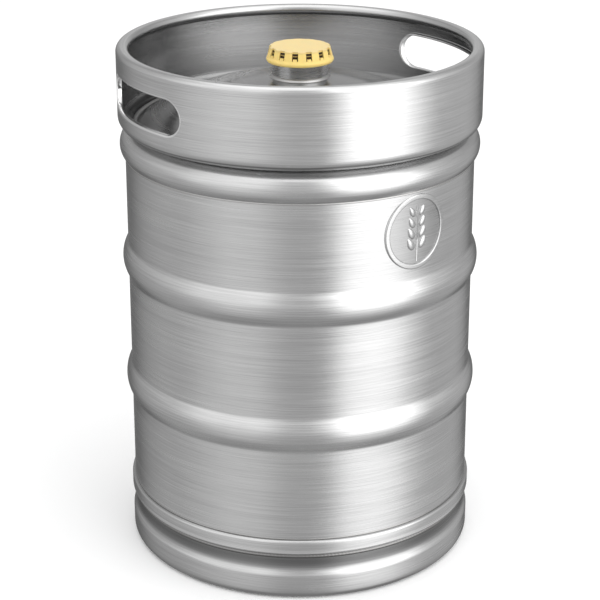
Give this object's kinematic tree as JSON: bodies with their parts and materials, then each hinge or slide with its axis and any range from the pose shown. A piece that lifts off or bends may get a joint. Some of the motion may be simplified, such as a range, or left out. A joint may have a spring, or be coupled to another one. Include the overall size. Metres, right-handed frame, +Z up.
{
  "type": "beer keg",
  "caption": "Stainless steel beer keg with a rolled rim, slotted hand holds, rolling hoops, a rolled foot, a neck with its extractor valve and down tube, and a push-on dust cap.",
  "frame": {"origin": "centre of the circle the foot stands on", "axes": "+Z up along the keg's axis, out of the neck; -Y is the front; the hand slots are at the front left and the rear right"},
  "size_m": [0.41, 0.41, 0.59],
  "materials": {
    "shell_steel": "satin, brushed round the body",
    "chime_steel": "satin, brushed round the rim",
    "weld_steel": "as welded, brushed",
    "neck_steel": "turned, satin",
    "valve_steel": "bright drawn",
    "tube_steel": "bright drawn tube",
    "ball_steel": "polished",
    "spring_steel": "bright wire",
    "seal_rubber": "matt food-grade rubber",
    "cap_plastic": "semi-gloss moulded polyethylene, pale yellow"
  },
  "bodies": {
    "keg": {"body_shell": "shell_steel", "bottom_chime": "chime_steel", "bottom_chime_weld": "weld_steel", "bottom_head": "shell_steel", "gas_spring": "spring_steel", "lower_girth_weld": "weld_steel", "neck_fitting": "neck_steel", "neck_seal": "seal_rubber", "neck_weld": "weld_steel", "retaining_ring": "spring_steel", "spring_cage": "valve_steel", "top_chime": "chime_steel", "top_chime_weld": "weld_steel", "top_head": "shell_steel", "upper_girth_weld": "weld_steel", "valve_body": "valve_steel"},
    "spear": {"down_tube": "tube_steel", "gas_seal": "seal_rubber", "seal_cup": "valve_steel", "ball_spring_perch": "valve_steel", "ball_spring": "spring_steel"},
    "ball": {"beer_ball": "ball_steel"},
    "cap": {"dust_cap": "cap_plastic"}
  },
  "joints": [
    {"name": "cap_lift", "type": "slide", "parent": "keg", "child": "cap", "axis": [0, 0, 1], "range_m": [0, 0.12]},
    {"name": "gas_valve", "type": "slide", "parent": "keg", "child": "spear", "axis": [0, 0, 1], "range_m": [-0.007, 0], "stiffness_N_per_m": 4000, "springref_m": 0.012, "deforming": ["gas_spring"]},
    {"name": "ball_valve", "type": "slide", "parent": "spear", "child": "ball", "axis": [0, 0, 1], "range_m": [-0.005, 0], "stiffness_N_per_m": 400, "springref_m": 0.005, "deforming": ["ball_spring"]}
  ]
}
